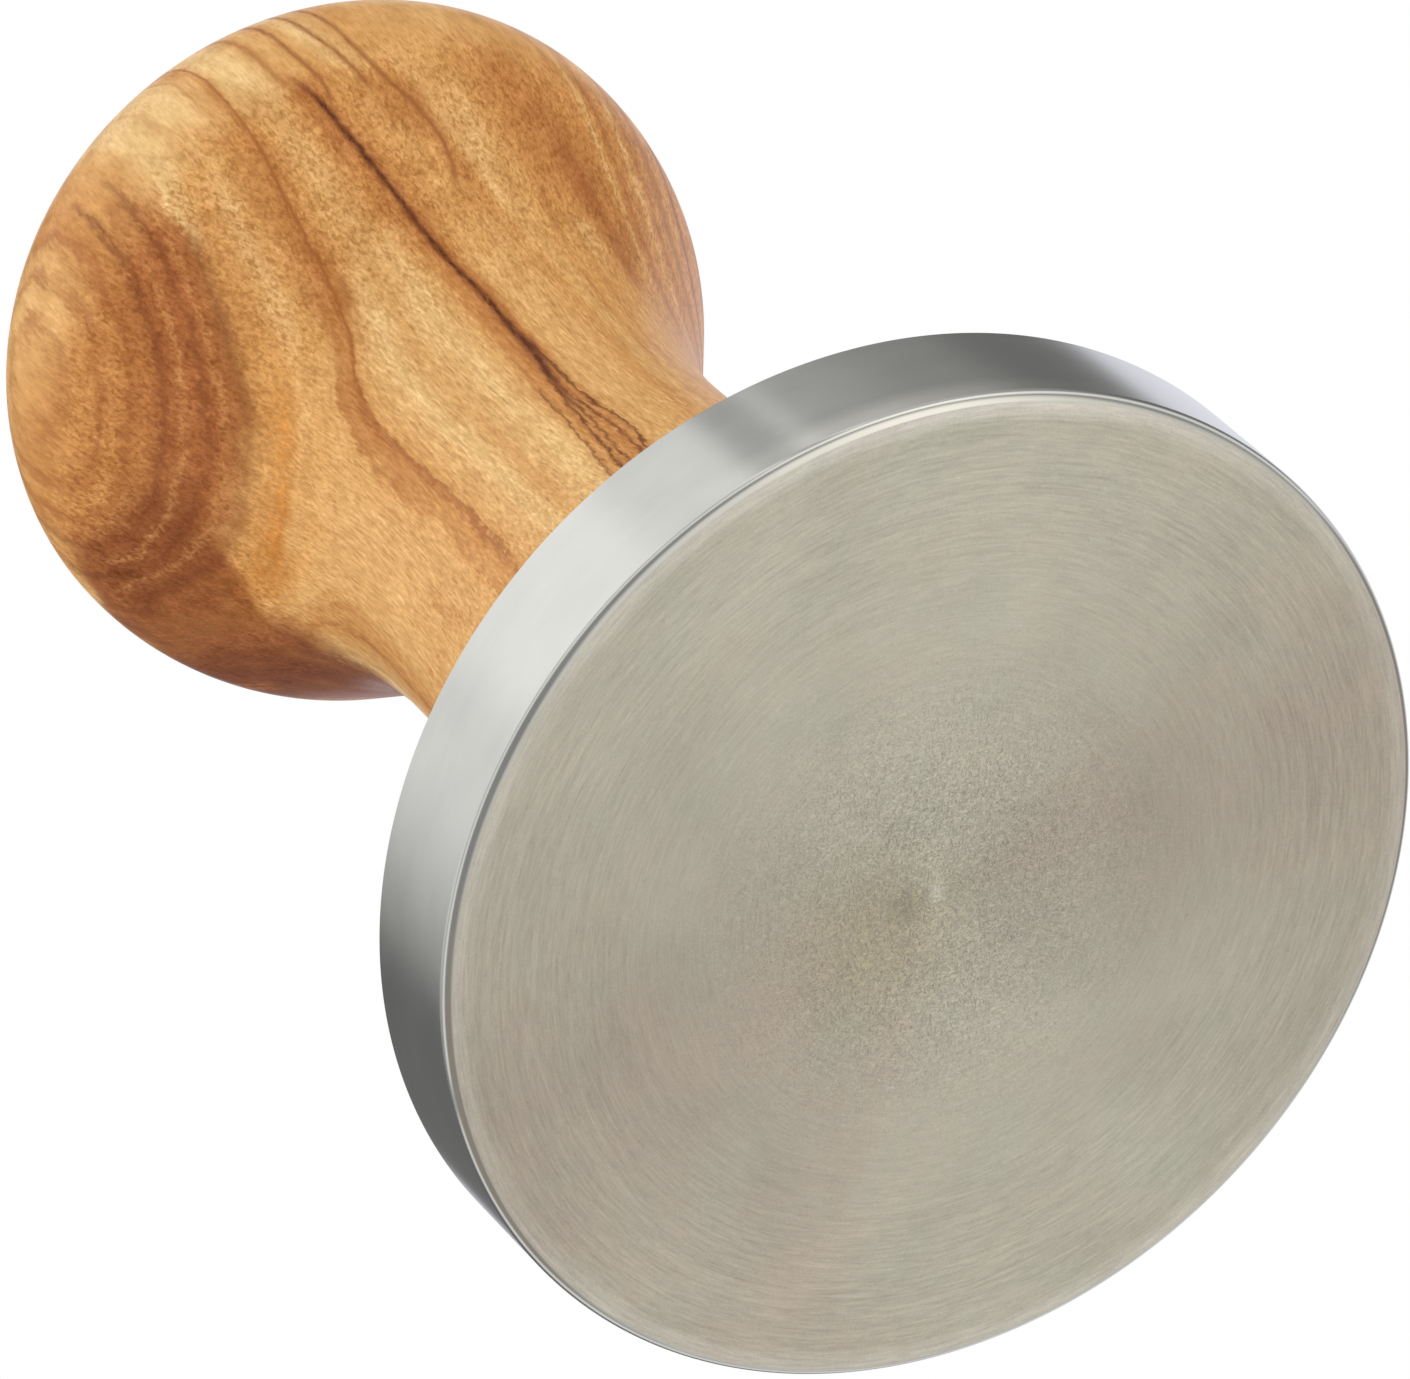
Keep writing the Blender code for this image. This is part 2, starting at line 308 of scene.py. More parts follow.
def foot_outline(outer):
    """The foot's underside, the washer's recess and the insert's bore, up to its end."""
    bore = INSERT_RADIUS + TOUCH_GAP
    bore_top = INSERT_FOOT + INSERT_LENGTH + INSERT_SUNK
    return [
        (outer - FOOT_CHAMFER, FOOT_HEIGHT),
        (RECESS_RADIUS, FOOT_HEIGHT),
        (RECESS_RADIUS, RECESS_CEILING),
        (bore, RECESS_CEILING),
        (bore, bore_top),
        (0.0, bore_top),
    ]


def make_handle(wood):
    outline = handle_outline()
    outline += foot_outline(outline[-1][0])
    return finish(turned("wooden_handle_turned", outline, TURNED_STEPS), wood)


def make_washer(nylon):
    """A flat ring with four rounded edges."""
    bottom, top = FOOT_HEIGHT, FOOT_HEIGHT + WASHER_THICKNESS
    outline = []
    for radius, height, start in (
        (WASHER_RADIUS - WASHER_EDGE, top - WASHER_EDGE, 90),
        (WASHER_RADIUS - WASHER_EDGE, bottom + WASHER_EDGE, 0),
        (WASHER_BORE_RADIUS + WASHER_EDGE, bottom + WASHER_EDGE, -90),
        (WASHER_BORE_RADIUS + WASHER_EDGE, top - WASHER_EDGE, -180),
    ):
        outline += arc((radius, height), WASHER_EDGE, start, start - 90, 4)
    return finish(turned("friction_washer_turned", outline, 2 * SMALL_STEPS), nylon)


def hexagon(name, across_flats, bottom, top):
    radius = across_flats / math.sqrt(3)
    outline = [(0.0, top), (radius, top), (radius, bottom), (0.0, bottom)]
    return turned(name, outline, 6)


def make_stud(steel):
    """A longer thread trimmed to the stud's length and chamfers, with a hex socket below."""
    bottom = SEAT_HEIGHT - STUD_ENGAGEMENT
    top = bottom + STUD_LENGTH
    first_turn = -round(STUD_ENGAGEMENT / PITCH) - 2
    turns = round(STUD_LENGTH / PITCH) + 4
    stud = thread("joining_stud_cut", THREAD_RADIUS - THREAD_HALF_CLEARANCE, first_turn, turns)
    tip = THREAD_RADIUS - STUD_CHAMFER
    blank = turned(
        "stud_blank",
        [
            (0.0, top),
            (tip, top),
            (THREAD_RADIUS, top - STUD_CHAMFER),
            (THREAD_RADIUS, bottom + STUD_CHAMFER),
            (tip, bottom),
            (0.0, bottom),
        ],
        SMALL_STEPS,
    )
    cut(stud, blank, "INTERSECT")
    cut(stud, hexagon("hex_key", SOCKET_ACROSS_FLATS, bottom - PITCH, bottom + SOCKET_DEPTH))
    return finish(stud, steel)


# --------------------------------------------------------------------------- node maths


def srgb(red, green, blue):
    """A linear colour from the usual 0 to 255 display values."""

    def linear(value):
        value /= 255.0
        return value / 12.92 if value <= 0.04045 else ((value + 0.055) / 1.055) ** 2.4

    return (linear(red), linear(green), linear(blue), 1.0)


class Number:
    """A number socket that can be used in sums."""

    def __init__(self, socket):
        self.socket = socket
        self.tree = socket.id_data

    def math(self, operation, *others, clamp=False):
        node = self.tree.nodes.new("ShaderNodeMath")
        node.operation = operation
        node.use_clamp = clamp
        for place, value in enumerate((self, *others)):
            put(node.inputs[place], value)
        return Number(node.outputs[0])

    def __add__(self, other):
        return self.math("ADD", other)

    def __sub__(self, other):
        return self.math("SUBTRACT", other)

    def __mul__(self, other):
        return self.math("MULTIPLY", other)

    def __truediv__(self, other):
        return self.math("DIVIDE", other)

    def fade(self, low, high):
        """0 at low and below, 1 at high and above, smooth between them."""
        node = self.tree.nodes.new("ShaderNodeMapRange")
        node.interpolation_type = "SMOOTHSTEP"
        put(node.inputs["Value"], self)
        node.inputs["From Min"].default_value = min(low, high)
        node.inputs["From Max"].default_value = max(low, high)
        node.inputs["To Min"].default_value = 0.0 if low < high else 1.0
        node.inputs["To Max"].default_value = 1.0 if low < high else 0.0
        return Number(node.outputs["Result"])

    def peak(self, centre, width):
        """1 at the centre, and a bell curve's fall to about a third one width from it."""
        away = (self - centre) / width
        return (away * away * -1.0).math("EXPONENT")

    def window(self, low, high, soft):
        """1 from low to high, with soft edges of that width outside them."""
        return self.fade(low - soft, low) * self.fade(high + soft, high)

    def curve(self, points):
        """A smooth curve through (value, result) points."""
        lows = [min(p[i] for p in points) for i in (0, 1)]
        highs = [max(p[i] for p in points) for i in (0, 1)]
        spans = [max(high - low, 1e-6) for low, high in zip(lows, highs)]
        node = self.tree.nodes.new("ShaderNodeFloatCurve")
        line = node.mapping.curves[0]
        while len(line.points) < len(points):
            line.points.new(0.5, 0.5)
        for place, (value, result) in enumerate(sorted(points)):
            line.points[place].location = (
                (value - lows[0]) / spans[0],
                (result - lows[1]) / spans[1],
            )
        node.mapping.update()
        put(node.inputs["Value"], ((self - lows[0]) / spans[0]).math("ADD", 0.0, clamp=True))
        return Number(node.outputs["Value"]) * spans[1] + lows[1]


def put(socket, value):
    """Links a Number or a socket, or sets a constant."""
    if isinstance(value, Number):
        value = value.socket
    if isinstance(value, bpy.types.NodeSocket):
        socket.id_data.links.new(value, socket)
    else:
        socket.default_value = value


def vector(tree, x, y, z):
    """A vector of three numbers or constants."""
    node = tree.nodes.new("ShaderNodeCombineXYZ")
    for place, value in enumerate((x, y, z)):
        put(node.inputs[place], value)
    return node.outputs[0]


def noise(where, detail=2.0, roughness=0.5, distortion=0.0):
    """Noise about zero, from -0.5 to 0.5, one unit of `where` to a lump."""
    node = where.id_data.nodes.new("ShaderNodeTexNoise")
    put(node.inputs["Vector"], where)
    node.inputs["Scale"].default_value = 1.0
    node.inputs["Detail"].default_value = detail
    node.inputs["Roughness"].default_value = roughness
    node.inputs["Distortion"].default_value = distortion
    return Number(node.outputs["Fac"]) - 0.5


def ramp(value, stops):
    """Colours along a value: stops are (value, colour), in order."""
    low, high = stops[0][0], stops[-1][0]
    node = value.tree.nodes.new("ShaderNodeValToRGB")
    put(node.inputs[0], (value - low) / (high - low))
    elements = node.color_ramp.elements
    while len(elements) < len(stops):
        elements.new(0.5)
    for element, (place, colour) in zip(elements, stops):
        element.position = (place - low) / (high - low)
        element.color = colour
    return node.outputs["Color"]


def blend(amount, first, second):
    """The first colour at 0, the second at 1, and a mixture between."""
    node = amount.tree.nodes.new("ShaderNodeMix")
    node.data_type = "RGBA"
    node.clamp_factor = True
    put(node.inputs[0], amount)
    put(node.inputs[6], first)
    put(node.inputs[7], second)
    return node.outputs[2]


def scaled(colour, amount):
    """A colour made lighter or darker by a number."""
    node = amount.tree.nodes.new("ShaderNodeVectorMath")
    node.operation = "SCALE"
    put(node.inputs[0], colour)
    put(node.inputs["Scale"], amount)
    return node.outputs[0]


def bump(height, distance):
    """Relief in a surface's shading, for a height of 1 that stands out by the distance."""
    node = height.tree.nodes.new("ShaderNodeBump")
    node.inputs["Strength"].default_value = 1.0
    node.inputs["Distance"].default_value = distance
    put(node.inputs["Height"], height)
    return node.outputs[0]


def new_material(name):
    """A material, its tree, its Principled shader and the place (x, y, z) in millimetres."""
    made = bpy.data.materials.new(name)
    made.use_nodes = True
    tree = made.node_tree
    shader = tree.nodes["Principled BSDF"]
    place = tree.nodes.new("ShaderNodeTexCoord").outputs["Object"]
    split = tree.nodes.new("ShaderNodeSeparateXYZ")
    put(split.inputs[0], place)
    x, y, z = [Number(split.outputs[axis]) * 1000.0 for axis in range(3)]
    return made, tree, shader, x, y, z


# --------------------------------------------------------------------------- olive wood

# The growth sheets stand on end and face this way round the handle's axis, in degrees.
SHEET_FACING = -132.0

PALE = srgb(231, 192, 134)
STRAW = srgb(224, 183, 124)
HONEY = srgb(215, 166, 104)
TAN = srgb(208, 153, 90)
AMBER = srgb(198, 138, 76)
ORANGE = srgb(203, 134, 60)
RUST = srgb(184, 121, 64)
BROWN = srgb(164, 98, 50)
WALNUT = srgb(148, 86, 44)
UMBER = srgb(120, 62, 28)
RUSSET = srgb(162, 90, 36)
DEEP_UMBER = srgb(110, 54, 24)
ROSE = srgb(182, 114, 62)
VEIN = srgb(98, 48, 22)

# Where two sheets lie, as (height, depth into the wood) in millimetres: depth is measured
# from the axis towards the facing side. The other sheets follow these two.
SOFT_VEIN = [
    (16, 13.0),
    (29.5, 11.6),
    (35, 11.0),
    (41, 10.55),
    (47, 10.6),
    (50, 10.75),
    (53, 10.6),
    (57, 9.95),
    (62, 10.3),
    (66, 10.7),
    (70, 11.25),
    (74, 11.6),
    (89, 11.9),
]
DARK_VEIN = [
    (16, 6.6),
    (30, 4.6),
    (38, 3.7),
    (43, 3.6),
    (47, 3.1),
    (51, 3.2),
    (56, 4.05),
    (62, 5.4),
    (66, 6.6),
    (69, 7.4),
    (72, 8.3),
    (76, 8.8),
    (89, 9.4),
]
# How far from the axis the dark heart of the left flank reaches, in the same way. This darker flank is
# partly the wood's own colour and partly painted shade.
DARK_FLANK_AND_SHADE = [
    (16, 3.0),
    (34, 4.5),
    (44, 7.0),
    (50, 8.6),
    (54, 9.8),
    (57, 11.2),
    (59.5, 14.5),
    (61.5, 18.5),
    (64, 20.0),
    (68, 19.5),
    (71, 17.5),
    (75, 11.5),
    (80, 4.0),
    (89, -5.0),
]
# Half the width of the dark vein's core, as (height, width)
DARK_CORE_WIDTH = [
    (36, 0.08),
    (43, 0.20),
    (47, 0.30),
    (51, 0.23),
    (58, 0.21),
    (64, 0.20),
    (68, 0.20),
    (71, 0.10),
]
SOFT_VEIN_SHEET = 11.0
DARK_VEIN_SHEET = 5.0
# A thin line whose last point is higher than this runs on over the crown, in millimetres
CROWN_HEIGHT = 79.0

# Thin lines: (points as above, half width, colour, strength)
FINE_VEINS = [
    (
        [
            (30, 11.45),
            (35, 11.0),
            (41, 10.52),
            (47, 10.57),
            (50, 10.7),
            (53, 10.6),
            (57, 9.98),
            (62, 10.3),
            (66, 10.7),
            (70, 11.2),
            (74, 11.5),
            (80, 11.6),
        ],
        0.10,
        RUSSET,
        0.70,
    ),
    ([(67.3, 6.7), (69, 6.5), (71, 6.8), (74, 7.1), (80, 7.2)], 0.17, BROWN, 0.8),
    ([(69.5, 7.9), (71.5, 8.6), (74, 8.8), (80, 9.0)], 0.22, RUST, 0.8),
    ([(67.5, 4.1), (69, 4.4), (72, 5.0), (74, 5.4), (80, 5.5)], 0.18, BROWN, 0.8),
    ([(60.5, 1.7), (63, 1.3), (65.5, 1.8), (69, 3.3), (72, 3.8), (80, 4.2)], 0.20, BROWN, 0.8),
    ([(18, 5.4), (29, 4.4), (32, 3.65), (36, 3.0), (39, 3.15), (44, 2.95), (47, 2.85)], 0.11, VEIN, 0.8),
    ([(18, 6.0), (29, 4.6), (33, 4.0), (38, 3.65), (41, 3.8), (45, 3.35)], 0.12, DEEP_UMBER, 0.75),
    ([(18, 8.0), (30, 5.9), (33, 5.3), (37, 4.6), (40, 4.2), (43, 3.8)], 0.13, DEEP_UMBER, 0.8),
    ([(18, 8.8), (30, 6.5), (34, 5.8), (38, 5.2), (42, 4.8)], 0.11, UMBER, 0.7),
    ([(18, 6.8), (31, 5.2), (34, 4.6), (38, 4.1), (41, 4.0)], 0.11, DEEP_UMBER, 0.7),
    ([(50, -14.8), (66, -14.2), (90, -13.6)], 0.40, BROWN, 0.5),
    ([(50, -16.6), (66, -16.1), (90, -15.2)], 0.22, UMBER, 0.6),
    ([(50, -19.0), (66, -18.4), (90, -18.0)], 0.30, BROWN, 0.6),
]

# Colours from sheet to sheet: in the knob's top, its middle, and the neck
KNOB_TOP = [
    (-22.0, TAN),
    (-12.0, TAN),
    (-6.0, HONEY),
    (0.0, TAN),
    (2.2, STRAW),
    (3.2, TAN),
    (4.2, HONEY),
    (5.2, TAN),
    (7.6, PALE),
    (9.6, STRAW),
    (11.2, TAN),
    (12.4, STRAW),
    (15.0, STRAW),
    (16.3, TAN),
    (18.5, AMBER),
    (19.4, HONEY),
    (22.0, HONEY),
]
KNOB_MIDDLE = [
    (-22.0, AMBER),
    (-9.0, AMBER),
    (-7.0, RUST),
    (-5.0, AMBER),
    (-3.0, TAN),
    (-0.6, HONEY),
    (0.4, AMBER),
    (2.4, TAN),
    (4.2, AMBER),
    (5.0, BROWN),
    (5.6, RUST),
    (6.5, AMBER),
    (8.6, HONEY),
    (9.8, TAN),
    (10.8, AMBER),
    (11.6, AMBER),
    (12.3, TAN),
    (14.4, TAN),
    (15.3, AMBER),
    (15.9, BROWN),
    (17.6, BROWN),
    (18.8, RUST),
    (20.2, AMBER),
    (22.0, AMBER),
]
NECK = [
    (-20.0, RUST),
    (-10.0, AMBER),
    (-5.0, TAN),
    (-2.0, TAN),
    (-1.1, HONEY),
    (0.0, TAN),
    (1.8, HONEY),
    (3.9, HONEY),
    (4.5, RUST),
    (5.0, BROWN),
    (5.7, AMBER),
    (6.5, HONEY),
    (7.4, STRAW),
    (8.8, HONEY),
    (9.6, STRAW),
    (10.4, HONEY),
    (10.9, TAN),
    (11.2, AMBER),
    (11.5, TAN),
    (12.4, HONEY),
    (22.0, HONEY),
]


def wood_patches(sheet, depth, height, side):
    """Stretches of other colour, from (amount, colour); each is laid over those before it."""
    upper = height.fade(69.0, 74.0)
    neck = height.fade(56.0, 50.0)
    low_neck = height.fade(47.0, 41.0)
    left = side.fade(0.0, -5.0)
    middle = side.fade(-6.0, -1.0)
    flank_wood_and_shade = left * (height.curve(DARK_FLANK_AND_SHADE) - depth).fade(-1.0, 1.6) * depth.fade(-12.0, 0.0)
    return [
        # the browner left flank and the dark streak down it: partly the wood's own colour, partly
        # painted shade on the lower left of the handle
        (flank_wood_and_shade * (height.fade(24.0, 54.0) * 0.45 + 0.5), WALNUT),
        (flank_wood_and_shade * sheet.fade(13.5, 7.5) * height.window(50.0, 70.0, 9.0) * 0.90, UMBER),
        (left * sheet.window(15.5, 17.5, 0.6) * height.window(61.0, 67.0, 3.0) * 0.4, UMBER),
        (side.fade(5.0, -2.0) * sheet.fade(17.8, 19.0) * height.fade(78.0, 73.0) * 0.75, AMBER),
        # bands that the knob cuts into rings
        (sheet.peak(15.4, 0.32) * height.window(58.0, 66.0, 3.0) * 0.55, UMBER),
        (sheet.peak(16.1, 0.12) * height.window(60.0, 67.0, 3.0) * 0.30, TAN),
        (sheet.peak(16.6, 0.14) * height.window(61.0, 72.0, 3.0) * 0.55, UMBER),
        (sheet.peak(17.2, 0.12) * height.window(61.0, 66.0, 3.0) * 0.30, TAN),
        (sheet.peak(17.8, 0.16) * height.window(62.0, 74.0, 3.0) * 0.55, UMBER),
        (sheet.peak(18.7, 0.20) * height.window(63.0, 76.0, 3.0) * 0.6, BROWN),
        (sheet.peak(19.5, 0.16) * height.window(62.0, 76.0, 4.0) * 0.55, BROWN),
        (sheet.peak(20.2, 0.14) * height.window(62.0, 76.0, 4.0) * 0.40, BROWN),
        (sheet.peak(13.9, 1.2) * height.peak(55.0, 3.6) * 0.9, ORANGE),
        (sheet.peak(14.0, 0.13) * upper * 0.55, RUST),
        (sheet.window(14.7, 15.3, 0.3) * height.fade(64.0, 70.0) * middle * 0.6, PALE),
        (sheet.window(12.2, 14.5, 0.5) * height.window(61.0, 66.0, 2.5) * middle * 0.5, AMBER),
        (sheet.peak(13.4, 0.5) * height.window(54.0, 66.0, 2.5) * middle * 0.45, STRAW),
        # the soft vein: broad on the knob, a narrow ribbon down the neck
        (sheet.window(10.4, 12.1, 0.5) * height.window(58.0, 68.0, 3.0) * middle * 0.35, RUST),
        (sheet.peak(11.2, 0.16) * height.window(57.0, 72.0, 3.0) * middle * 0.40, BROWN),
        (sheet.window(10.4, 11.8, 0.4) * height.peak(57.0, 2.0) * middle * 0.5, BROWN),
        (sheet.window(11.1, 11.7, 0.25) * height.window(46.0, 57.0, 5.0) * middle * 0.5, RUST),
        (sheet.peak(11.1, 0.07) * neck * 0.55, BROWN),
        (sheet.peak(11.75, 0.09) * neck * 0.35, RUST),
        (sheet.peak(11.1, 0.16) * upper * 0.5, RUST),
        (sheet.peak(11.9, 0.10) * upper * 0.4, RUST),
        (sheet.window(11.3, 11.8, 0.2) * low_neck * 0.4, AMBER),
        (sheet.peak(12.7, 0.10) * height.fade(42.0, 36.0) * 0.5, RUST),
        # fine orange lines down the pale neck
        (sheet.peak(8.75, 0.24) * low_neck * 0.5, TAN),
        (sheet.peak(7.8, 0.12) * neck * 0.3, TAN),
        (sheet.peak(9.95, 0.12) * neck * 0.35, TAN),
        # the dark vein's margin
        (sheet.window(5.2, 5.8, 0.3) * height.fade(62.0, 52.0) * 0.45, RUST),
        (sheet.window(5.2, 6.3, 0.35) * height.window(65.5, 68.5, 1.5) * 0.5, BROWN),
        (sheet.window(4.3, 6.4, 0.35) * height.fade(45.0, 38.0) * 0.70, AMBER),
        # brown clouds on the facing side's right
        (depth.peak(3.2, 1.2) * height.peak(67.3, 1.6) * 0.6, RUST),
        (depth.peak(1.5, 0.8) * height.peak(65.5, 2.4) * 0.6, RUST),
        (depth.window(-6.0, -3.5, 1.2) * height.peak(65.0, 3.6) * 0.5, RUST),
        (depth.peak(-7.0, 0.9) * height.peak(62.3, 3.4) * 0.75, BROWN),
        (depth.peak(-7.6, 0.5) * height.peak(57.4, 2.8) * 0.6, BROWN),
        (depth.peak(-9.6, 1.7) * height.peak(59.6, 1.1) * 0.35, BROWN),
        (depth.peak(-5.6, 0.8) * height.peak(57.4, 1.2) * 0.6, STRAW),
        (depth.peak(-0.8, 0.7) * height.peak(64.0, 3.0) * 0.4, STRAW),
        # faint streaks towards the right
        (depth.peak(-3.6, 0.25) * height.window(52.0, 60.0, 4.0) * 0.45, RUST),
        (depth.peak(-4.9, 0.20) * height.window(44.0, 56.0, 4.0) * 0.45, RUST),
        (depth.peak(-8.7, 0.25) * height.window(60.0, 74.0, 5.0) * 0.45, RUST),
        (depth.peak(-9.7, 0.22) * height.window(58.0, 78.0, 5.0) * 0.45, STRAW),
        (depth.peak(-10.6, 0.30) * height.window(57.0, 76.0, 5.0) * 0.50, BROWN),
        (depth.peak(-12.0, 0.25) * height.window(57.0, 78.0, 5.0) * 0.45, STRAW),
        (depth.peak(-12.9, 0.30) * height.window(57.0, 78.0, 5.0) * 0.40, BROWN),
    ]


def stained(colour, lightness):
    """Makes a colour paler, or darker and redder, as thinner or thicker wood stain does."""
    tree = lightness.tree
    node = tree.nodes.new("ShaderNodeVectorMath")
    node.operation = "MULTIPLY"
    put(node.inputs[0], colour)
    strengths = [
        (lightness * share + warmth).math("EXPONENT")
        for share, warmth in ((0.70, 0.02), (1.0, -0.06), (1.45, -0.20))
    ]
    put(node.inputs[1], vector(tree, *strengths))
    return node.outputs[0]


def growth_sheet(depth, dark, soft):
    """The sheet at a depth: numbered evenly from vein to vein, and by millimetres beyond."""
    past_dark = depth - dark
    between = (past_dark / (soft - dark)).math("ADD", 0.0, clamp=True)
    return (
        between * (SOFT_VEIN_SHEET - DARK_VEIN_SHEET)
        + DARK_VEIN_SHEET
        + past_dark.math("MINIMUM", 0.0)
        + (depth - soft).math("MAXIMUM", 0.0)
    )


def with_fine_veins(colour, depth, height, in_sight, flecks):
    """The thin lines of FINE_VEINS, each fading out at its ends inside the handle."""
    for points, half_width, tone, strength in FINE_VEINS:
        low, high = points[0][0], points[-1][0]
        near = depth.peak(height.curve(points), half_width) * in_sight
        along = height.fade(low - 0.5, low + 1.0)
        if high < CROWN_HEIGHT:
            along = along * height.fade(high + 1.0, high - 0.5)
        colour = blend(near * along * (flecks * 1.2 + 1.0) * strength, colour, tone)
    return colour


def make_wood():
    made, tree, shader, x, y, z = new_material("olive_wood")
    facing = math.radians(SHEET_FACING)
    depth = x * math.cos(facing) + y * math.sin(facing)
    side = y * math.cos(facing) - x * math.sin(facing)

    def grain(across, along, *settings):
        """Noise with lumps of that size in millimetres, across the grain and along it."""
        return noise(vector(tree, depth / across, side / across, z / along), *settings)

    # Sheets waver: slowly over the whole handle, finely along each edge
    slow = noise(vector(tree, depth / 11.0, side / 9.0, z / 30.0), 1.0)
    middling = grain(1.6, 7.0, 2.0)
    fine = grain(0.35, 1.1, 3.0, 0.6)
    drift = slow * (side.fade(4.0, -12.0) * 3.4 + 0.5)
    wavering = depth + drift + middling * 0.45 + fine * 0.75
    dark = z.curve(DARK_VEIN)
    sheet = growth_sheet(wavering, dark, z.curve(SOFT_VEIN))

    # The run of colour from sheet to sheet, for each part of the handle
    wobble = grain(2.4, 6.0, 2.0)
    level = z + wobble * 7.0
    colour = blend(level.fade(68.0, 73.0), ramp(sheet, KNOB_MIDDLE), ramp(sheet, KNOB_TOP))
    colour = blend(level.fade(60.0, 54.0), colour, ramp(sheet, NECK))
    flecks = grain(0.27, 0.85, 2.0, 0.65, 0.5)
    patchiness = wobble * 1.3 + flecks * 2.0 + 1.0
    for amount, patch in wood_patches(sheet, wavering, z + wobble * 4.0, side):
        colour = blend(amount * patchiness, colour, patch)

    # Fibres: mottled where the knob cuts across them, long lines down the neck
    knob = z.fade(52.0, 59.0)
    top = z.fade(68.0, 73.0)
    lines = noise(vector(tree, sheet / 0.30, side / 22.0, z / 40.0), 3.0, 0.7)
    broad_lines = noise(vector(tree, sheet / 1.5, side / 30.0, z / 70.0), 1.0)
    fibre = grain(0.16, 1.2, 2.0, 0.6)
    clouds = grain(1.3, 3.0, 2.0, 0.6)
    strokes = flecks.math("MINIMUM", 0.04)
    lightness = (
        lines * (knob * -0.40 + 0.80)
        + broad_lines * 0.20
        + fibre * (knob * -0.25 - top * 0.55 + 1.20)
        + strokes * (knob * 1.75 - top * 1.70 + 0.40)
        + flecks * (side.fade(-4.0, -9.0) * knob * 1.10 + 0.15)
        + clouds * (knob * 0.45 + 0.45)
        + top * 0.04
        + 0.21
    )
    colour = stained(colour, lightness)

    # Vessels: short dark dashes along the grain
    dashes = grain(0.15, 1.6, 1.0).fade(0.11, 0.24)
    colour = blend(dashes * (knob * -0.2 + 0.45), colour, ROSE)

    # Single veins, which end on the left flank, and the dark vein's core
    in_sight = (side.fade(-7.0, -2.0) + depth.fade(2.0, -2.0)).math("MINIMUM", 1.0)
    thin = depth + drift + middling * 0.24 + fine * (z.fade(47.0, 41.0) * 0.40 + 0.35)
    colour = with_fine_veins(colour, thin, z, in_sight, flecks)
    core = thin.peak(dark, z.curve(DARK_CORE_WIDTH))
    along = z.fade(40.0, 44.0) * z.fade(71.0, 67.5) * side.fade(-4.0, 0.0)
    colour = blend(core * along * (flecks * 1.6 + 0.88), colour, VEIN)

    put(shader.inputs["Base Color"], colour)
    put(shader.inputs["Roughness"], flecks * 0.12 + lines * 0.06 + 0.45)
    shader.inputs["Specular IOR Level"].default_value = 0.12
    shader.inputs["Coat Weight"].default_value = 0.16
    shader.inputs["Coat IOR"].default_value = 1.38
    shader.inputs["Coat Roughness"].default_value = 0.08
    relief = fibre * 0.5 + dashes * -0.8 + lines * 0.5
    put(shader.inputs["Normal"], bump(relief, 0.000012))
    return made


# --------------------------------------------------------------------------- metals

QUARTER_TURN = 0.25


def turned_place(tree, x, y):
    """The distance from the axis in millimetres, and the direction as a unit (x, y)."""
    radius = (x * x + y * y).math("SQRT")
    safe = radius.math("MAXIMUM", 0.05)
    return radius, x / safe, y / safe


def brushed(tree, shader, anisotropy):
    """Cutting marks run round the axis, so highlights spread across them."""
    tangent = tree.nodes.new("ShaderNodeTangent")
    tangent.direction_type = "RADIAL"
    tangent.axis = "Z"
    put(shader.inputs["Tangent"], tangent.outputs[0])
    shader.inputs["Anisotropic"].default_value = anisotropy
    shader.inputs["Anisotropic Rotation"].default_value = QUARTER_TURN


def fan(east, north, angle, width):
    """1 along one direction from the centre, fading to both sides; angles in degrees."""
    turn = math.radians(angle)
    along = east * math.cos(turn) + north * math.sin(turn)
    return ((along - 1.0) / (1.0 - math.cos(math.radians(width)))).math("EXPONENT")


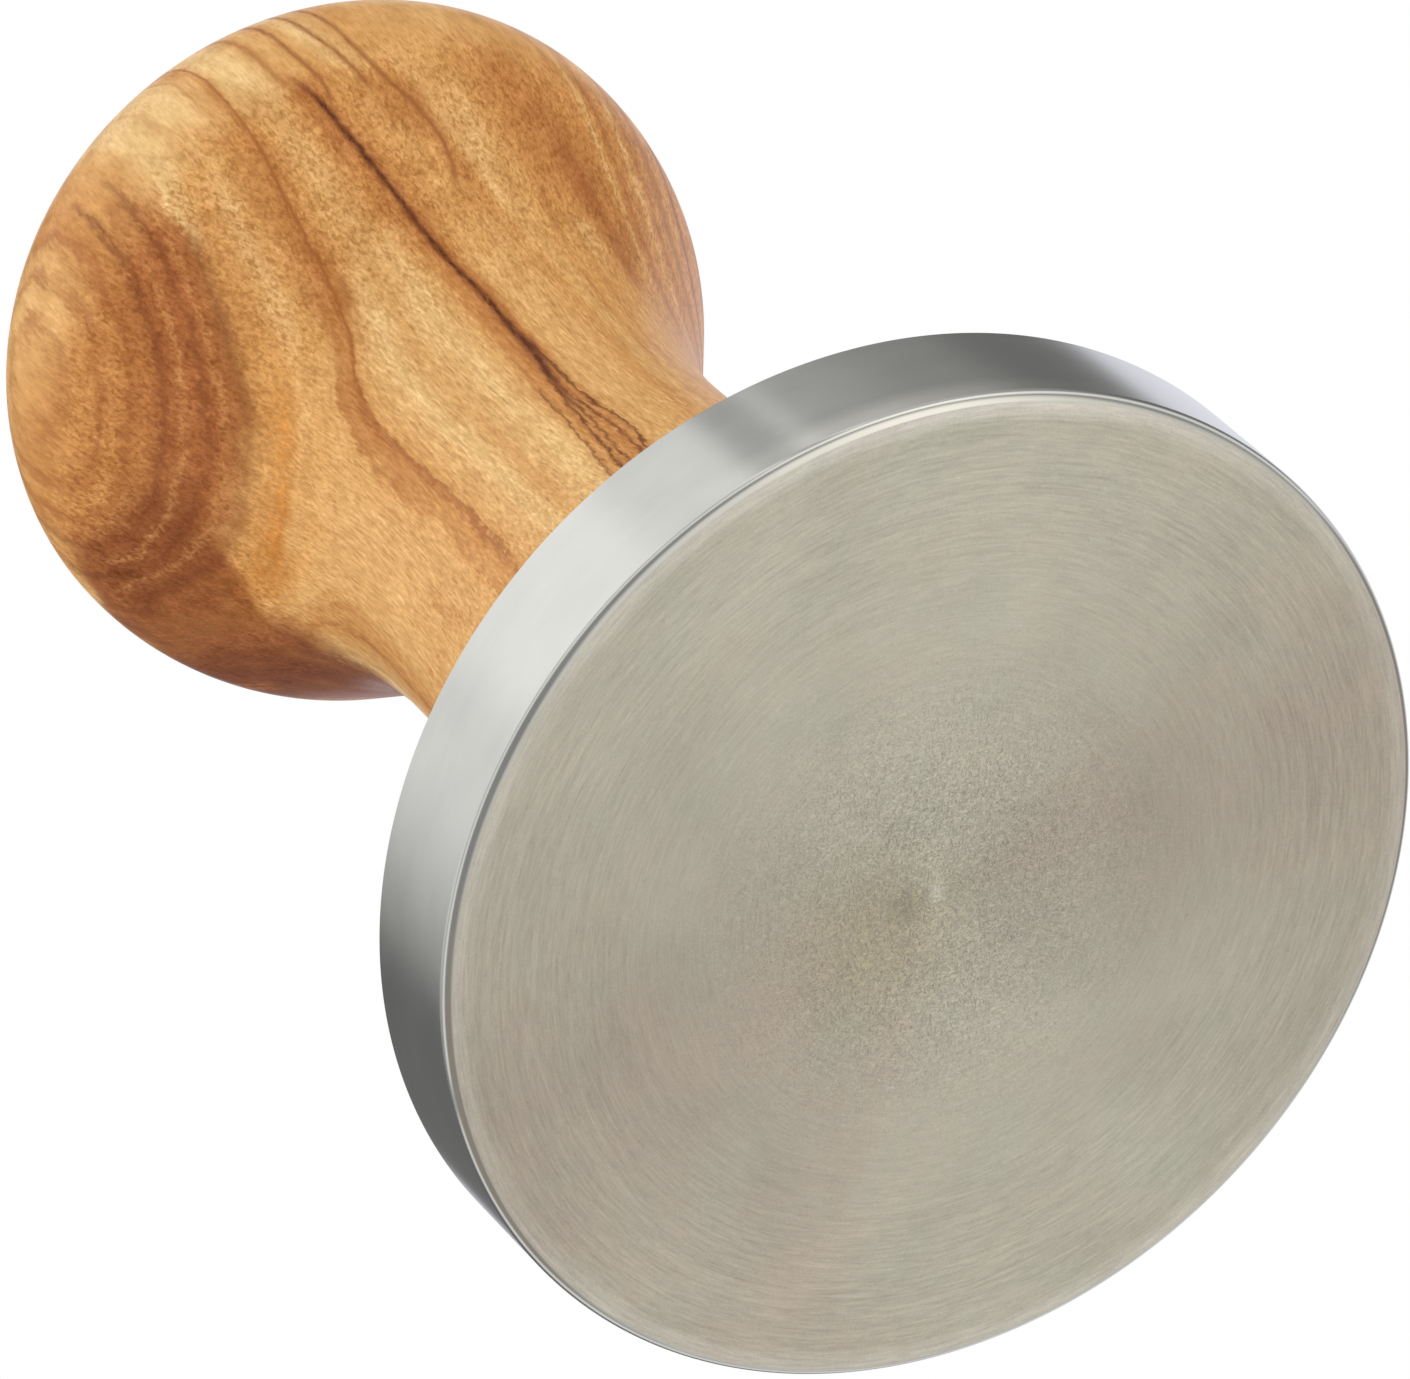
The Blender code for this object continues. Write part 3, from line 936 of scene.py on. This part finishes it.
def make_face_steel():
    """Fine cutting rings, rubbed and clouded in the middle, with painted fans of reflection and a
    painted highlight along the outer edge.
    """
    made, tree, shader, x, y, _ = new_material("face_steel")
    radius, east, north = turned_place(tree, x, y)
    inner = radius.fade(17.0, 4.0)
    outer = radius.fade(14.0, 24.0)
    scratches = noise(vector(tree, radius / 0.12, x / 1.3, y / 1.3), 2.0, 0.6)
    long_marks = noise(vector(tree, radius / 0.22, x / 5.0, y / 5.0), 2.0, 0.6)
    swirl = noise(vector(tree, x / 0.30, y / 0.30, 0.0), 2.0, 0.65, 2.2)
    cloud = noise(vector(tree, x / 7.0, y / 7.0, 3.0), 2.0)
    tint = noise(vector(tree, x / 4.5, y / 4.5, 11.0), 2.0)
    from_stain = ((x + 4.0) * (x + 4.0) + (y + 1.0) * (y + 1.0)).math("SQRT")
    from_pit = ((x + 1.7) * (x + 1.7) + (y + 1.0) * (y + 1.0)).math("SQRT")
    # painted reflection: darker, warmer fans and brighter fans across the face, laid into the colour by
    # direction
    painted_dark_fans = (
        fan(east, north, -162.0, 26.0)
        + fan(east, north, 30.0, 24.0)
        + fan(east, north, 152.0, 14.0) * 0.8
    )
    painted_bright_fans = fan(east, north, -110.0, 26.0) + fan(east, north, -30.0, 30.0)
    spread = radius.fade(1.0, 9.0)
    colour = blend(tint * 1.4 + painted_dark_fans * spread * 0.6 + 0.3, srgb(203, 203, 189), srgb(211, 201, 188))
    # a painted highlight on the face's outer rim, brightest towards -50 degrees
    lit_rim = fan(east, north, -50.0, 28.0) * 0.35 + 0.45
    colour = blend(radius.fade(27.2, 28.3) * lit_rim, colour, srgb(236, 234, 226))
    colour = blend(from_stain.fade(7.5, 1.0) * (swirl * 2.0 + 0.5), colour, srgb(208, 198, 168))
    colour = blend(radius.fade(0.8, 0.1) * 0.6, colour, srgb(240, 238, 228))
    shade = (
        scratches * (outer * 0.14 + 0.30)
        + long_marks * (outer * 0.28 + 0.10)
        + swirl * (inner * 1.05 + 0.36)
        + cloud * 0.26
        + painted_bright_fans * spread * 0.045
        - painted_dark_fans * spread * 0.075
        - from_pit.fade(1.8, 0.3) * 0.16
        + 1.015
    )
    put(shader.inputs["Base Color"], scaled(colour, shade))
    shader.inputs["Metallic"].default_value = 1.0
    put(shader.inputs["Roughness"], scratches * 0.08 + swirl * 0.12 + 0.46)
    brushed(tree, shader, 0.68)
    relief = scratches * 0.6 + long_marks * 0.6 + swirl * (inner * 3.4 + 0.8)
    put(shader.inputs["Normal"], bump(relief, 0.000016))
    return made


def make_wall_steel():
    """A satin turned finish, with a painted highlight along the wall's lower edge on its lit side."""
    made, tree, shader, x, y, z = new_material("turned_steel")
    radius, east, north = turned_place(tree, x, y)
    along = z + radius
    marks = noise(vector(tree, along / 0.10, east * 3.0, north * 3.0), 3.0, 0.6)
    soft = noise(vector(tree, along / 1.6, east * 5.0, north * 5.0), 2.0)
    haze = noise(vector(tree, x / 5.0, y / 5.0, z / 3.0), 2.0)
    shade = marks * 0.06 + soft * 0.05 + haze * 0.14 + 1.0
    colour = blend(haze + 0.5, srgb(206, 206, 202), srgb(210, 210, 205))
    # a painted highlight low on the wall, towards -52 degrees
    painted_edge_highlight = z.fade(2.6, 0.7) * fan(east, north, -52.0, 16.0)
    colour = blend(painted_edge_highlight * 0.9, colour, srgb(255, 253, 244))
    put(shader.inputs["Base Color"], scaled(colour, shade))
    shader.inputs["Metallic"].default_value = 1.0
    put(shader.inputs["Roughness"], marks * 0.04 + haze * 0.05 + 0.18)
    brushed(tree, shader, 0.35)
    put(shader.inputs["Normal"], bump(marks + soft, 0.0000006))
    return made


def make_stud_steel():
    made, tree, shader, x, y, z = new_material("stud_steel")
    radius, east, north = turned_place(tree, x, y)
    rolled = noise(vector(tree, z / 0.10, east * 4.0, north * 4.0), 3.0, 0.6)
    stain = noise(vector(tree, x / 2.0, y / 2.0, z / 3.0), 3.0)
    crest = radius.fade(3.5, 3.9)
    colour = blend(crest * 0.6 + stain * 0.5, srgb(150, 148, 144), srgb(196, 195, 192))
    put(shader.inputs["Base Color"], scaled(colour, rolled * 0.12 + 1.0))
    shader.inputs["Metallic"].default_value = 1.0
    put(shader.inputs["Roughness"], rolled * 0.12 + stain * 0.10 - crest * 0.08 + 0.36)
    put(shader.inputs["Normal"], bump(rolled, 0.000006))
    return made


def make_brass():
    made, tree, shader, x, y, z = new_material("brass")
    radius, east, north = turned_place(tree, x, y)
    marks = noise(vector(tree, (z + radius) / 0.14, east * 2.5, north * 2.5), 3.0, 0.6)
    tarnish = noise(vector(tree, x / 2.5, y / 2.5, z / 2.5), 3.0, 0.6)
    colour = blend(tarnish.fade(-0.15, 0.25), srgb(216, 182, 108), srgb(178, 138, 74))
    put(shader.inputs["Base Color"], scaled(colour, marks * 0.14 + 1.0))
    shader.inputs["Metallic"].default_value = 1.0
    put(shader.inputs["Roughness"], marks * 0.10 + tarnish * 0.14 + 0.32)
    put(shader.inputs["Normal"], bump(marks, 0.000005))
    return made


def make_nylon():
    made, tree, shader, x, y, z = new_material("washer_nylon")
    radius, east, north = turned_place(tree, x, y)
    rings = noise(vector(tree, radius / 0.22, east * 1.5, north * 1.5), 3.0, 0.6)
    clouds = noise(vector(tree, x / 3.0, y / 3.0, z / 3.0), 3.0)
    colour = blend(clouds + 0.5, srgb(226, 221, 205), srgb(236, 232, 220))
    colour = blend(radius.peak(12.2, 0.6) * 0.35 + rings * 0.15, colour, srgb(196, 184, 160))
    put(shader.inputs["Base Color"], colour)
    put(shader.inputs["Roughness"], rings * 0.12 + clouds * 0.08 + 0.50)
    shader.inputs["Subsurface Weight"].default_value = 0.25
    shader.inputs["Subsurface Radius"].default_value = (0.0008, 0.0007, 0.0006)
    put(shader.inputs["Normal"], bump(rings, 0.00001))
    return made


# --------------------------------------------------------------------------- studio


def direction(azimuth, elevation):
    """Azimuth turns from +X towards +Y, and elevation is above the horizon, in degrees."""
    a, e = math.radians(azimuth), math.radians(elevation)
    return Vector((math.cos(a) * math.cos(e), math.sin(a) * math.cos(e), math.sin(e)))


class Sky:
    """Soft light from all round, painted by direction; each part lies over those before."""

    def __init__(self, ground):
        world = bpy.data.worlds.new("studio")
        bpy.context.scene.world = world
        world.use_nodes = True
        self.tree = world.node_tree
        self.towards = self.tree.nodes.new("ShaderNodeTexCoord").outputs["Generated"]
        split = self.tree.nodes.new("ShaderNodeSeparateXYZ")
        put(split.inputs[0], self.towards)
        x, y, z = [Number(split.outputs[axis]) for axis in range(3)]
        self.azimuth = y.math("ARCTAN2", x) * math.degrees(1.0)
        self.elevation = z.math("ARCSINE") * math.degrees(1.0)
        self.colour = ground

    def spot(self, azimuth, elevation, inner, outer, colour):
        node = self.tree.nodes.new("ShaderNodeVectorMath")
        node.operation = "DOT_PRODUCT"
        put(node.inputs[0], self.towards)
        node.inputs[1].default_value = direction(azimuth, elevation)
        cosine = Number(node.outputs["Value"])
        amount = cosine.fade(math.cos(math.radians(outer)), math.cos(math.radians(inner)))
        self.colour = blend(amount, self.colour, colour)

    def panel(self, azimuths, elevations, softness, colour):
        """A panel between two azimuths and two elevations; softness is (left, right, low, high)."""
        left, right, low, high = softness
        turn = (self.azimuth - (azimuths[0] - left)).math("MODULO", 360.0)
        turn = (turn + 360.0).math("MODULO", 360.0)
        span = azimuths[1] - azimuths[0] + left
        amount = turn.fade(0.0, left) * turn.fade(span + right, span)
        amount = amount * self.elevation.fade(elevations[0] - low, elevations[0])
        amount = amount * self.elevation.fade(elevations[1] + high, elevations[1])
        self.colour = blend(amount, self.colour, colour)

    def done(self, backdrop):
        """Lights the scene with the sky, and shows the camera a plain backdrop instead."""
        tree = self.tree
        shaded = tree.nodes["Background"]
        put(shaded.inputs["Color"], self.colour)
        seen = tree.nodes.new("ShaderNodeBackground")
        seen.inputs["Color"].default_value = backdrop
        path = tree.nodes.new("ShaderNodeLightPath")
        mixed = tree.nodes.new("ShaderNodeMixShader")
        tree.links.new(path.outputs["Is Camera Ray"], mixed.inputs[0])
        tree.links.new(shaded.outputs[0], mixed.inputs[1])
        tree.links.new(seen.outputs[0], mixed.inputs[2])
        tree.links.new(mixed.outputs[0], tree.nodes["World Output"].inputs["Surface"])


def grey(value):
    return (value, value, value, 1.0)


def light_studio():
    sky = Sky(grey(0.33))
    # what the wall shows: the key panel with a brighter middle, a grey stretch with a thin
    # bright strip, two dark gaps and a cool panel between them
    sky.panel((-143.0, -52.5), (25.0, 80.0), (48.0, 2.0, 12.0, 8.0), grey(0.95))
    sky.panel((-116.0, -84.0), (25.0, 80.0), (16.0, 12.0, 12.0, 8.0), grey(1.18))
    sky.panel((-50.0, -28.0), (25.0, 80.0), (2.0, 24.0, 12.0, 8.0), grey(0.47))
    sky.panel((-39.5, -37.0), (25.0, 80.0), (2.0, 2.0, 12.0, 8.0), grey(0.82))
    sky.panel((16.0, 36.0), (25.0, 80.0), (16.0, 5.0, 12.0, 8.0), grey(0.19))
    sky.panel((110.0, 165.0), (25.0, 80.0), (8.0, 14.0, 12.0, 8.0), grey(0.17))
    sky.panel((48.0, 100.0), (20.0, 75.0), (8.0, 14.0, 12.0, 8.0), (0.90, 0.91, 1.00, 1.0))
    # a bright horizon all round, which lights the rounded edges
    sky.panel((-180.0, 170.0), (-9.0, 9.0), (5.0, 5.0, 6.0, 5.0), grey(0.95))
    # what the face looks down on: warm and even, brighter underneath, dark to both sides
    sky.spot(90.0, -52.6, 24.0, 60.0, (0.76, 0.735, 0.695, 1.0))
    sky.spot(-20.0, -64.0, 14.0, 45.0, (0.95, 0.93, 0.88, 1.0))
    sky.spot(160.0, -36.0, 16.0, 34.0, (0.36, 0.32, 0.28, 1.0))
    sky.spot(64.0, -9.0, 12.0, 26.0, (0.34, 0.30, 0.26, 1.0))
    sky.done((1.0, 1.0, 1.0, 1.0))


# Where the lamps point: the middle of the tamper
AIM = Vector((0.0, 0.0, 0.04))


def area_light(name, azimuth, elevation, distance, size, power):
    """A round lamp turned to the tamper, which does not show in the steel."""
    data = bpy.data.lights.new(name, "AREA")
    data.shape = "DISK"
    data.size = size
    data.energy = power
    lamp = link(name, data)
    lamp.location = AIM + direction(azimuth, elevation) * distance
    lamp.rotation_euler = (AIM - lamp.location).to_track_quat("-Z", "Y").to_euler()
    lamp.visible_glossy = False


FLOOR_RADIUS = 0.45
FLOOR_DROP = 0.0002


def make_floor():
    """A pale disc just under the base, which fades at its edge and shows only from above."""
    made = bpy.data.materials.new("pale_floor")
    made.use_nodes = True
    tree = made.node_tree
    shader = tree.nodes["Principled BSDF"]
    place = tree.nodes.new("ShaderNodeTexCoord").outputs["Object"]
    split = tree.nodes.new("ShaderNodeSeparateXYZ")
    put(split.inputs[0], place)
    x, y = Number(split.outputs[0]), Number(split.outputs[1])
    grain = noise(vector(tree, x * 900.0, y * 900.0, 0.0), 2.0)
    colour = scaled(blend(grain * 0.1 + 0.5, grey(0.80), grey(0.82)), grain * 0.02 + 1.0)
    put(shader.inputs["Base Color"], colour)
    shader.inputs["Roughness"].default_value = 0.7
    clear = tree.nodes.new("ShaderNodeBsdfTransparent")
    mixed = tree.nodes.new("ShaderNodeMixShader")
    under = Number(tree.nodes.new("ShaderNodeNewGeometry").outputs["Backfacing"])
    edge = (x * x + y * y).math("SQRT").fade(0.16, 0.42)
    put(mixed.inputs[0], under.math("MAXIMUM", edge))
    tree.links.new(shader.outputs[0], mixed.inputs[1])
    tree.links.new(clear.outputs[0], mixed.inputs[2])
    tree.links.new(mixed.outputs[0], tree.nodes["Material Output"].inputs["Surface"])
    shape = bmesh.new()
    bmesh.ops.create_circle(shape, cap_ends=True, segments=SMALL_STEPS, radius=FLOOR_RADIUS)
    for face in shape.faces:
        if face.normal.z < 0:
            face.normal_flip()
    mesh = bpy.data.meshes.new("floor")
    shape.to_mesh(mesh)
    shape.free()
    mesh.materials.append(made)
    floor = link("floor", mesh)
    floor.location.z = -FLOOR_DROP
    for ray in ("diffuse", "glossy", "transmission", "volume_scatter", "shadow"):
        setattr(floor, "visible_" + ray, False)


# The camera looks up at the face from below and in front, rolled over to its right.
CAMERA_PLACE = Vector((0.0, -0.38843, -0.48072))
CAMERA_FORWARD = Vector((-0.0008, 0.6076, 0.7943)).normalized()
CAMERA_ROLL = math.radians(46.93)
CAMERA_LENS = 296.485
CAMERA_SENSOR = 36.0


def make_camera():
    data = bpy.data.cameras.new("camera")
    data.lens = CAMERA_LENS
    data.sensor_width = CAMERA_SENSOR
    data.clip_start = 0.01
    data.clip_end = 100.0
    camera = link("camera", data)
    level = CAMERA_FORWARD.cross(Vector((0.0, 0.0, 1.0))).normalized()
    rise = level.cross(CAMERA_FORWARD)
    right = level * math.cos(CAMERA_ROLL) - rise * math.sin(CAMERA_ROLL)
    up = right.cross(CAMERA_FORWARD)
    turn = Matrix((right, up, -CAMERA_FORWARD)).transposed().to_4x4()
    camera.matrix_world = Matrix.Translation(CAMERA_PLACE) @ turn
    bpy.context.scene.camera = camera


# --------------------------------------------------------------------------- the scene


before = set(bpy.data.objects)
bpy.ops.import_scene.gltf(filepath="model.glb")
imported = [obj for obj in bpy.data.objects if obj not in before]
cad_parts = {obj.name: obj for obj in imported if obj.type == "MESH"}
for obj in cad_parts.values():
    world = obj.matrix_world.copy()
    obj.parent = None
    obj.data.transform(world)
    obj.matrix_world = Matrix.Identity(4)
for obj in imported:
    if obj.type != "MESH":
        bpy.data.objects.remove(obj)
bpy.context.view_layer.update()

base = make_base(make_face_steel(), make_wall_steel())
handle = make_handle(make_wood())
washer = make_washer(make_nylon())
stud = make_stud(make_stud_steel())

for piece, body, node, slot in (
    (base, "base", "tamper_base", "stainless_steel"),
    (handle, "handle", "wooden_handle", "olive_wood"),
    (washer, "washer", "friction_washer", "washer_nylon"),
    (stud, "handle", "joining_stud", "stud_steel"),
):
    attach(piece, body)
    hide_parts(node)

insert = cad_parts["threaded_insert"]
insert.data.materials.clear()
insert.data.materials.append(make_brass())
insert.data.shade_smooth()
insert.data.set_sharp_from_angle(angle=SHARP_ANGLE)

make_floor()
light_studio()
area_light("left_light", -165.0, 0.0, 0.6, 0.5, 0.9)
area_light("front_light", -100.0, -10.0, 0.6, 0.5, 0.6)
area_light("right_light", -10.0, 0.0, 0.6, 0.5, 0.7)
area_light("back_light", 100.0, 20.0, 0.8, 0.6, 2.0)
make_camera()

bpy.context.scene.view_settings.view_transform = "Standard"
bpy.context.scene.view_settings.look = "None"
